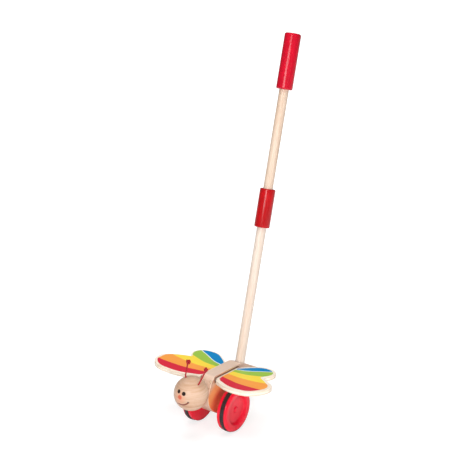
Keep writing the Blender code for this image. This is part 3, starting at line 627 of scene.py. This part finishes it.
# Turned beech ball, its face printed in thin ink under the same satin lacquer
def printedBall(name):
    material = beech(name, "#DCBBA2", "#D0A88A", "#BB8C6C", look=headLook)
    tree, shader, skin = underneath(material)
    local = add(tree, "Mapping", {"Vector": objectPlace(tree), "Location": tuple(-headCentre)}).outputs["Vector"]
    edge = face["edge"] * mm

    def away(centre):
        return add(tree, "VectorMath", {0: local, 1: centre}, operation="DISTANCE").outputs["Value"]

    def dot(under, ink, turn, height, size, soft=edge, strength=1.0):
        low, high = size * mm - soft, size * mm + soft
        fromMiddle = away(tuple(onBall(turn, height)))
        share = mapped(tree, fromMiddle, low, high, strength, 0.0, interpolation_type="SMOOTHSTEP")
        return blend(tree, share, under, colour(faceInks[ink]))

    skin = dot(skin, "blush", *face["blush"], face["blushEdge"] * mm, face["blushInk"])
    skin = dot(skin, "nose", *face["nose"], face["noseEdge"] * mm, face["noseInk"])
    for eye in face["eyes"]:
        skin = dot(skin, "eye", *eye)
    # the smile is the lower part of a circle on the ball
    centre = tuple(onBall(*face["mouthCentre"]))
    radius, width = face["mouthRadius"] * mm, face["mouthWidth"] * mm
    off = calc(tree, "ABSOLUTE", calc(tree, "SUBTRACT", away(centre), radius))
    line = mapped(tree, off, width - edge / 2, width + edge / 2, 1.0, 0.0)
    lean = math.radians(face["mouthTurn"])
    down = (math.sin(lean), 0.0, -math.cos(lean))
    across = add(tree, "VectorMath", {0: local, 1: centre}, operation="SUBTRACT").outputs["Vector"]
    low = add(tree, "VectorMath", {0: across, 1: down}, operation="DOT_PRODUCT").outputs["Value"]
    reach = radius * math.cos(math.radians(face["mouthHalfAngle"]))
    below = mapped(tree, low, reach - edge, reach + edge)
    front = add(tree, "SeparateXYZ", {"Vector": local}).outputs["Y"]
    isFront = mapped(tree, front, -0.5 * mm, 0.5 * mm, 1.0, 0.0)
    smile = calc(tree, "MULTIPLY", calc(tree, "MULTIPLY", line, below), isFront)
    skin = blend(tree, smile, skin, colour(faceInks["smile"]))
    wire(tree, dot(skin, "tick", *face["tick"]), shader, "Base Color")
    return material


# the ball: rings of latitude from pole to pole
def makeHead():
    count = 96
    height = np.linspace(np.pi / 2, -np.pi / 2, count + 1)[1:-1, None]
    angle = np.linspace(0, 2 * np.pi, 2 * count, endpoint=False)
    ball = np.broadcast_arrays(np.cos(height) * np.cos(angle), np.cos(height) * np.sin(angle), np.sin(height))
    rings = np.stack(ball, -1) * headRadius + headCentre
    up = np.array((0, 0, headRadius))
    material = printedBall("printedBeechBall")
    piece = gridPiece("printed_head", rings, material, headCentre + up, headCentre - up, flip=True)
    finish(piece, "chassis", "head")


makeHead()
print("head turned and printed")

# feelers: in mm and degrees, as they leave the ball, which is turned a little about its neck
feeler = {
    "headRoll": 12.0, "neckTilt": 16.0, "radius": 1.05, "spread": 27.5, "forward": 7.0, "inside": 5.0, "upright": 2.5,
    "toKnot": {"left": 23.5, "right": 20.3}, "tail": 3.4, "leanOut": 9.5, "leanBack": 14.0, "beforeKnot": 4.2,
    "knotRing": 1.75, "knotWave": 0.8, "knotDepth": 0.85, "knotTurn": {"left": 70.0, "right": -40.0},
    "knotOpen": 0.10, "knotShift": 0.55, "endLift": 0.75, "endWidth": 0.35,
}


# an overhand knot: a three-leaved loop opened at one leaf, where its two ends cross and run off
# along the cord. Leaves: radius = ring + wave * cos(3t), angle = 2t, depth = depth * sin(3t), and
# the ends are lifted apart by a bump of width endWidth round each.
def knotPath(count=90):
    k = feeler
    t = np.linspace(k["knotOpen"], 2 * np.pi - k["knotOpen"], count)
    radius = k["knotRing"] + k["knotWave"] * np.cos(3 * t)
    across, along = radius * np.cos(2 * t), radius * np.sin(2 * t)
    depth = k["knotDepth"] * np.sin(3 * t)
    ends = np.exp(-((t - t[0]) / k["endWidth"]) ** 2) - np.exp(-((t[-1] - t) / k["endWidth"]) ** 2)
    return np.stack([across - k["knotRing"] * k["knotShift"], along, depth + k["endLift"] * ends], -1)


def makeFeeler(side, sign):
    k = feeler
    spread, forward, out, back = (math.radians(k[key]) for key in ("spread", "forward", "leanOut", "leanBack"))
    tilt, level = math.radians(k["neckTilt"]), math.cos(forward)
    roll = np.array(Matrix.Rotation(-math.radians(k["headRoll"]), 3, Vector((0, -math.cos(tilt), math.sin(tilt)))))
    leaves = np.array((sign * math.sin(spread) * level, -math.sin(forward), math.cos(spread) * level))
    leans = np.array((sign * math.sin(out), math.sin(back), 0))
    leans[2] = math.sqrt(1 - leans @ leans)
    leaves, leans = roll @ leaves, roll @ leans
    ball = headRadius / mm
    base, bend = leaves * ball, leaves * (ball + k["upright"])
    knot = bend + leans * k["toKnot"][side]
    first, second, along = axes(leans)
    turn = math.radians(k["knotTurn"][side])
    first, second = first * math.cos(turn) + second * math.sin(turn), second * math.cos(turn) - first * math.sin(turn)
    tied = knotPath()
    tied = knot + tied[:, :1] * first + tied[:, 1:2] * along + tied[:, 2:3] * second
    share = np.linspace(0, 1, 7)[1:, None]
    bow = bend + (knot - leans * k["beforeKnot"] - bend) * share
    tail = tied[-1] + leans * k["tail"] * np.array(((0.5,), (1.0,)))
    route = np.vstack([leaves * (ball - k["inside"]), base, bend, bow, tied, tail])
    sweep(f"knotted_cord_{side}", smoothRoute(route) * mm + headCentre, k["radius"] * mm, side)


# evens out a route's steps and rounds its bends: each pass moves a point halfway to its neighbours' mean
def smoothRoute(route, count=320, passes=14):
    for _ in range(2):
        steps = np.linalg.norm(np.diff(route, axis=0), axis=1)
        place = np.concatenate([[0], np.cumsum(steps)])
        even = np.linspace(0, place[-1], count)
        route = np.stack([np.interp(even, place, route[:, i]) for i in range(3)], -1)
        for _ in range(passes):
            route[1:-1] = route[1:-1] / 2 + (route[:-2] + route[2:]) / 4
    return route


def unit(rows):
    return rows / np.linalg.norm(rows, axis=1, keepdims=True)


# a side direction that turns with the route and doesn't twist round it. The plain one, square to a
# fixed direction, twists by some angle at each step, and the sum of those angles is turned back.
def carried(tangent, fixed=(0.31, 0.93, -0.20)):
    plain = unit(np.cross(tangent, fixed))
    square = np.cross(tangent, plain)
    last = unit(plain[:-1] - tangent[1:] * (plain[:-1] * tangent[1:]).sum(1, keepdims=True))
    twist = np.arctan2((last * square[1:]).sum(1), (last * plain[1:]).sum(1))
    angle = np.concatenate([[0], np.cumsum(twist)])[:, None]
    return plain * np.cos(angle) + square * np.sin(angle)


# a cord along a route: three strands, so the radius swells and sinks three times round by a tenth,
# and the swell turns with the length. Its ends are domed.
def sweep(name, route, radius, side):
    tangent = unit(np.gradient(route, axis=0))
    normal = carried(tangent)
    other = np.cross(tangent, normal)
    length = np.concatenate([[0], np.cumsum(np.linalg.norm(np.diff(route, axis=0), axis=1))])
    angle = np.linspace(0, 2 * np.pi, 24, endpoint=False)
    phase = angle[None] - length[:, None] * 2 * np.pi / (cordLook["pitch"] * mm)
    size = radius * (1 + cordLook["swell"] * np.abs(np.cos(cordLook["strands"] / 2 * phase)) - cordLook["sink"])
    dome = np.sqrt(np.clip(1 - (1 - np.minimum(length, length[-1] - length) / radius).clip(0) ** 2, 0.05, 1))
    size = size * dome[:, None]
    around = np.cos(angle)[:, None] * normal[:, None] + np.sin(angle)[:, None] * other[:, None]
    rings = route[:, None] + size[..., None] * around
    uv = np.stack(np.broadcast_arrays(length[:, None], angle[None] / (2 * np.pi)), -1)
    piece = gridPiece(name, rings, cordRed, route[0], route[-1], uv=uv)
    finish(piece, "chassis", "antenna_" + side)


for side, sign in sides.items():
    makeFeeler(side, sign)
print("feelers tied")

# wings, in mm: (outwards from the hinge, rearwards along it). "i" and "o" mark a straight way in or
# out of a point. The print keeps a margin from the outline that changes from front to rear
# (marginAt), stays off the root (rootMargin) and ends at tipReach. Only the top is printed, and
# unprinted is the margin that is stored everywhere else.
wing = {
    "thickness": 6.0, "round": 0.9, "dihedral": 3.6, "centre": (33.0, 11.0),
    "front": ((-3.0, -14.5), (4.9, -14.5), (6.5, -20.0), (15.8, -26.4), (35.3, -35.5), (54.9, -38.0)),
    "foreTip": {"left": ((70.2, -35.0), (82.4, -22.9), (88.2, -8.7), (85.0, 4.4), (73.4, 14.5)),
                "right": ((71.0, -36.5), (83.5, -28.5), (91.3, -14.0), (88.9, 2.5), (75.6, 15.0))},
    "notch": ((57.9, 25.8),),
    "hindTip": {"left": ((63.6, 37.2), (63.6, 46.8), (57.8, 56.1), (45.9, 62.0), (32.8, 62.0)),
                "right": ((64.4, 37.2), (64.8, 46.8), (59.0, 56.9), (46.4, 63.0), (32.8, 62.5))},
    "rear": ((19.7, 54.4), (11.2, 47.3), (4.9, 41.6), (-3.0, 41.6)),
    "corners": {0: "io", 1: "i", 11: "io", 19: "o", 20: "io"},
    "marginAt": (-25, 0, 14, 40), "margin": {"left": (5.9, 5.9, 5.0, 4.0), "right": (4.0, 3.0, 1.4, 2.5)},
    "rootMarginAt": (-14, -2), "rootMargin": (7.4, 5.2), "rootEnd": 6.0, "tipReach": {"left": 84.0, "right": 87.0},
    "unprinted": -5.0, "outlineSteps": 360, "topSteps": 41, "edgeSteps": 6, "cornerPasses": 5,
}
# the printed bands: where each colour starts, as (outwards, rearwards) in mm from the hinge
bands = {
    "orange": ((-5, 1), (6.4, -3.0), (18, -6.8), (26, -9.3), (34, -12.0), (44, -14.0), (56, -15.3), (68, -16.0),
               (80, -16.2), (95, -15)),
    "yellow": ((-5, 13), (6.2, 11), (20.8, 8.2), (30, 6.6), (40, 6.0), (50, 5.8), (60, 6.4), (76, 9), (95, 13)),
    "green": ((-5, 24), (9, 22.6), (20, 21.9), (29, 22.1), (37, 23.4), (44, 25.7), (60, 31), (95, 44)),
    "white": ((-5, 27), (6.2, 30.6), (12, 32.4), (20, 33.9), (27, 36.7), (33, 39.8), (39.4, 43.5), (46, 46.9),
              (52, 49.8), (70, 59), (95, 72)),
    "blue": ((-5, 29), (6.2, 32.4), (12, 34.0), (20, 35.5), (27, 38.4), (33, 41.5), (39.4, 45.2), (46, 48.6),
             (52, 51.5), (70, 61), (95, 74)),
}
inks = {
    "red": "#DE2A42", "orange": "#FFA64C", "yellow": "#FFE04C", "green": "#A0C84E", "white": "#F4FAF4",
    "blue": "#0088C8",
}
# lengths in mm. A point is on the top if it lies within topWithin of it, and on the edge if it is
# edgeWithin or more away from both faces.
plyLook = {
    "ply": 2.0, "glueCode": "#C9A27A", "glue": 0.3, "glueFrom": 0.35, "glueTo": 0.65,
    "printEdge": 0.18, "speckle": 1.1, "thinnest": 0.98, "specular": 0.1, "topWithin": 0.02, "edgeWithin": 0.05,
}
birchLook = dict(beechLook, fleckWidth=0.4, fleckLength=3.0)


# Birch plywood under screen-printed ink, matt: the ink is thin, so the wood's specks of about 1 mm
# just show in it. The edge shows three plies of 2 mm with darker glue lines.
def printedPly(name):
    look = plyLook
    material = beech(name, "#FFF6E8", "#FCEEDC", "#F4E0C8", alongY, birchLook)
    tree, shader, shade = underneath(material)
    edge = look["printEdge"] * mm

    def stored(attribute):
        return add(tree, "Attribute", attribute_name=attribute).outputs["Fac"]

    thin = noise(tree, objectPlace(tree), 1 / (look["speckle"] * mm), 2.0)
    ink = colour(inks["red"])
    for band in bands:
        ink = blend(tree, mapped(tree, stored(band), -edge, edge), ink, colour(inks[band]))
    cover = mapped(tree, thin, 0.0, 1.0, look["thinnest"], 1.0)
    cover = calc(tree, "MULTIPLY", cover, mapped(tree, stored("printed"), -edge, edge))
    plies = calc(tree, "MULTIPLY", stored("depth"), 1 / (look["ply"] * mm))
    plies = calc(tree, "PINGPONG", calc(tree, "ADD", plies, 0.5), 1.0)
    glue = mapped(tree, plies, look["glueFrom"], look["glueTo"], 0.0, look["glue"])
    shade = blend(tree, calc(tree, "MULTIPLY", glue, stored("rim")), shade, colour(look["glueCode"]))
    wire(tree, blend(tree, cover, shade, ink), shader, "Base Color")
    shader.inputs["Coat Weight"].default_value = 0.0
    shader.inputs["Specular IOR Level"].default_value = look["specular"]
    # painted shade where surfaces nearly meet, as at the wing's root in the slot
    return paintedCreviceShade(material)


# least distance from each point to a line of points
def distanceTo(points, line):
    start, end = line[:-1], line[1:]
    span = end - start
    away = points[:, None] - start[None]
    share = np.clip((away * span).sum(-1) / (span ** 2).sum(-1), 0, 1)
    return np.linalg.norm(away - share[..., None] * span, axis=-1).min(1)


# a loop's points again, at even steps along it
def evenLoop(loop, count):
    closed = np.vstack([loop, loop[:1]])
    steps = np.concatenate([[0], np.cumsum(np.linalg.norm(np.diff(closed, axis=0), axis=1))])
    place = np.linspace(0, steps[-1], count, endpoint=False)
    return np.stack([np.interp(place, steps, closed[:, i]) for i in (0, 1)], -1)


# a wing is its outline drawn in rings: out from the middle over the top, round the edge, and back
# below. Each point keeps its distance from the bands' lines.
def makeWing(side, sign):
    w = wing
    outline = smoothLoop(w["front"] + w["foreTip"][side] + w["notch"] + w["hindTip"][side] + w["rear"], w["corners"])
    loop = evenLoop(outline, w["outlineSteps"])
    after, before = np.roll(loop, -1, 0), np.roll(loop, 1, 0)
    way = after - before
    inwards = np.stack([-way[:, 1], way[:, 0]], -1) / np.linalg.norm(way, axis=1, keepdims=True)
    # at a sharp corner the directions fan out over a few points, so the rings never fold over
    for _ in range(w["cornerPasses"]):
        inwards = (np.roll(inwards, 1, 0) + 2 * inwards + np.roll(inwards, -1, 0)) / 4
    inwards /= np.linalg.norm(inwards, axis=1, keepdims=True)
    half, r = w["thickness"] / 2, w["round"]
    turn = np.radians(np.linspace(0, 90, w["edgeSteps"]))
    flat = loop + inwards * r
    centre = np.array(w["centre"])
    shares = np.linspace(0, 1, w["topSteps"])[1:-1]
    top = [(centre + (flat - centre) * share, half) for share in shares]
    edge = [(loop + inwards * r * (1 - math.sin(a)), half - r * (1 - math.cos(a))) for a in turn]
    level = top + edge
    plan = np.array([ring for ring, _ in level] + [ring for ring, _ in level[::-1]])
    height = np.array([h for _, h in level] + [-h for _, h in level[::-1]])
    poles = np.array([(*centre, half), (*centre, -half)])
    flatPoints = np.vstack([plan.reshape(-1, 2), poles[:, :2]])
    heights = np.concatenate([np.repeat(height, len(loop)), poles[:, 2]])
    slope = math.atan2(hingeAxis[2], hingeAxis[1])
    rise = math.radians(w["dihedral"])
    outwards = np.array((sign * math.cos(rise), -math.sin(rise) * math.sin(slope), math.sin(rise) * math.cos(slope)))
    upwards = np.cross(outwards, hingeAxis) * sign
    u, v = flatPoints[:, 0], flatPoints[:, 1]
    solid = hinges[side] + (u[:, None] * outwards + v[:, None] * hingeAxis + heights[:, None] * upwards) * mm
    rings = solid[:-2].reshape(*plan.shape[:2], 3)
    material = printedPly("printedBirchPly" + side.capitalize())
    piece = gridPiece("printed_wing_" + side, rings, material, solid[-2], solid[-1], flip=sign > 0)
    # the margin is counted from the free outline, without the part in the body's slot
    free = outline[outline[:, 0] > w["rootEnd"]]
    margin = distanceTo(flatPoints, free) - np.interp(v, w["marginAt"], w["margin"][side])
    margin = np.minimum(margin, u - np.interp(v, w["rootMarginAt"], w["rootMargin"]))
    margin = np.minimum(margin, w["tipReach"][side] - u)
    margin = np.where(heights > half - plyLook["topWithin"], margin, w["unprinted"])
    store(piece.data, "printed", margin * mm)
    store(piece.data, "depth", (heights + half) * mm)
    store(piece.data, "rim", np.where(np.abs(heights) < half - plyLook["edgeWithin"], 1.0, 0.0))
    for band, points in bands.items():
        line = openCurve(points)
        store(piece.data, band, (v - np.interp(u, line[:, 0], line[:, 1])) * mm)
    finish(piece, side + "_wing", "wing_" + side)


# the same smooth line, left open: the loop's closing stretch is cut off
def openCurve(points, steps=16):
    last = len(points) - 1
    return smoothLoop(points, {0: "io", last: "io"}, steps)[:steps * last]


def store(mesh, name, values):
    mesh.attributes.new(name, "FLOAT", "POINT").data.foreach_set("value", values.astype(np.float32))


for side, sign in sides.items():
    makeWing(side, sign)
print("wings cut and printed")

# stage: a white sweep under soft boxes, in metres, degrees and watts. Near the toy the floor shows
# its shadows, and further out it fades to plain white.
stage = {
    "floorSize": 14.0, "world": 0.26, "mirroredWorld": 0.05, "floorShare": 0.45, "glow": 1.32,
    "fadeFrom": 0.10, "fadeTo": 0.40, "paper": "#F4F4F4", "roughness": 0.9, "specular": 0.1, "lampsAim": 0.15,
}
lamps = {
    "key": {"turn": 18.0, "height": 24.0, "distance": 2.2, "size": 0.9, "power": 14.0, "mirrored": True},
    "front": {"turn": 52.0, "height": 6.0, "distance": 2.4, "size": 0.4, "power": 15.0, "mirrored": False},
    "low": {"turn": 28.0, "height": 5.0, "distance": 2.4, "size": 0.5, "power": 3.5, "mirrored": False},
    "fill": {"turn": 70.0, "height": 10.0, "distance": 2.0, "size": 0.8, "power": 4.0, "mirrored": False},
    "top": {"turn": 30.0, "height": 78.0, "distance": 2.2, "size": 1.6, "power": 31.0, "mirrored": False},
    "back": {"turn": 200.0, "height": 28.0, "distance": 2.4, "size": 1.2, "power": 9.0, "mirrored": False},
}


def makeStage():
    world = bpy.data.worlds.new("studio")
    bpy.context.scene.world = world
    world.use_nodes = True
    tree = world.node_tree
    # lacquer mirrors less of the room than it is lit by, so the reds stay deep
    rays = add(tree, "LightPath")
    back = tree.nodes["Background"]
    room = mapped(tree, rays.outputs["Is Glossy Ray"], 0.0, 1.0, stage["world"], stage["mirroredWorld"])
    level = mapped(tree, rays.outputs["Is Camera Ray"], 0.0, 1.0, room, 1.0)
    back.inputs["Color"].default_value = (1, 1, 1, 1)
    tree.links.new(level, back.inputs["Strength"])
    half = stage["floorSize"] / 2
    mesh = bpy.data.meshes.new("floor")
    mesh.from_pydata([(-half, -half, 0), (half, -half, 0), (half, half, 0), (-half, half, 0)], [], [(0, 1, 2, 3)])
    material, tree, shader = newMaterial("whitePaperSweep")
    far = add(tree, "VectorMath", {0: objectPlace(tree)}, operation="LENGTH").outputs["Value"]
    fade = mapped(tree, far, stage["fadeFrom"], stage["fadeTo"], stage["floorShare"], 0.0,
                  interpolation_type="SMOOTHSTEP")
    shader.inputs["Base Color"].default_value = colour(stage["paper"])
    shader.inputs["Roughness"].default_value = stage["roughness"]
    shader.inputs["Specular IOR Level"].default_value = stage["specular"]
    glow = add(tree, "Emission", {"Color": (1, 1, 1, 1), "Strength": stage["glow"]})
    rays = add(tree, "LightPath")
    shown = calc(tree, "MULTIPLY", rays.outputs["Is Camera Ray"], calc(tree, "SUBTRACT", 1.0, fade))
    both = add(tree, "MixShader", {0: shown, 1: shader.outputs["BSDF"], 2: glow.outputs["Emission"]})
    tree.links.new(both.outputs["Shader"], tree.nodes["Material Output"].inputs["Surface"])
    mesh.materials.append(material)
    floor = bpy.data.objects.new("floor", mesh)
    bpy.context.scene.collection.objects.link(floor)
    middle = Vector(axle) + Vector((0, 0, stage["lampsAim"]))
    for name, lamp in lamps.items():
        data = bpy.data.lights.new(name, "AREA")
        data.shape = "DISK"
        data.size = lamp["size"]
        data.energy = lamp["power"]
        a, e = math.radians(lamp["turn"]), math.radians(lamp["height"])
        out = Vector((math.sin(a) * math.cos(e), -math.cos(a) * math.cos(e), math.sin(e)))
        made = bpy.data.objects.new(name, data)
        bpy.context.scene.collection.objects.link(made)
        made.location = middle + out * lamp["distance"]
        made.rotation_euler = out.to_track_quat("Z", "Y").to_euler()
        made.visible_glossy = lamp["mirrored"]
    bpy.context.scene.view_settings.view_transform = "Standard"


makeStage()
print("stage lit")
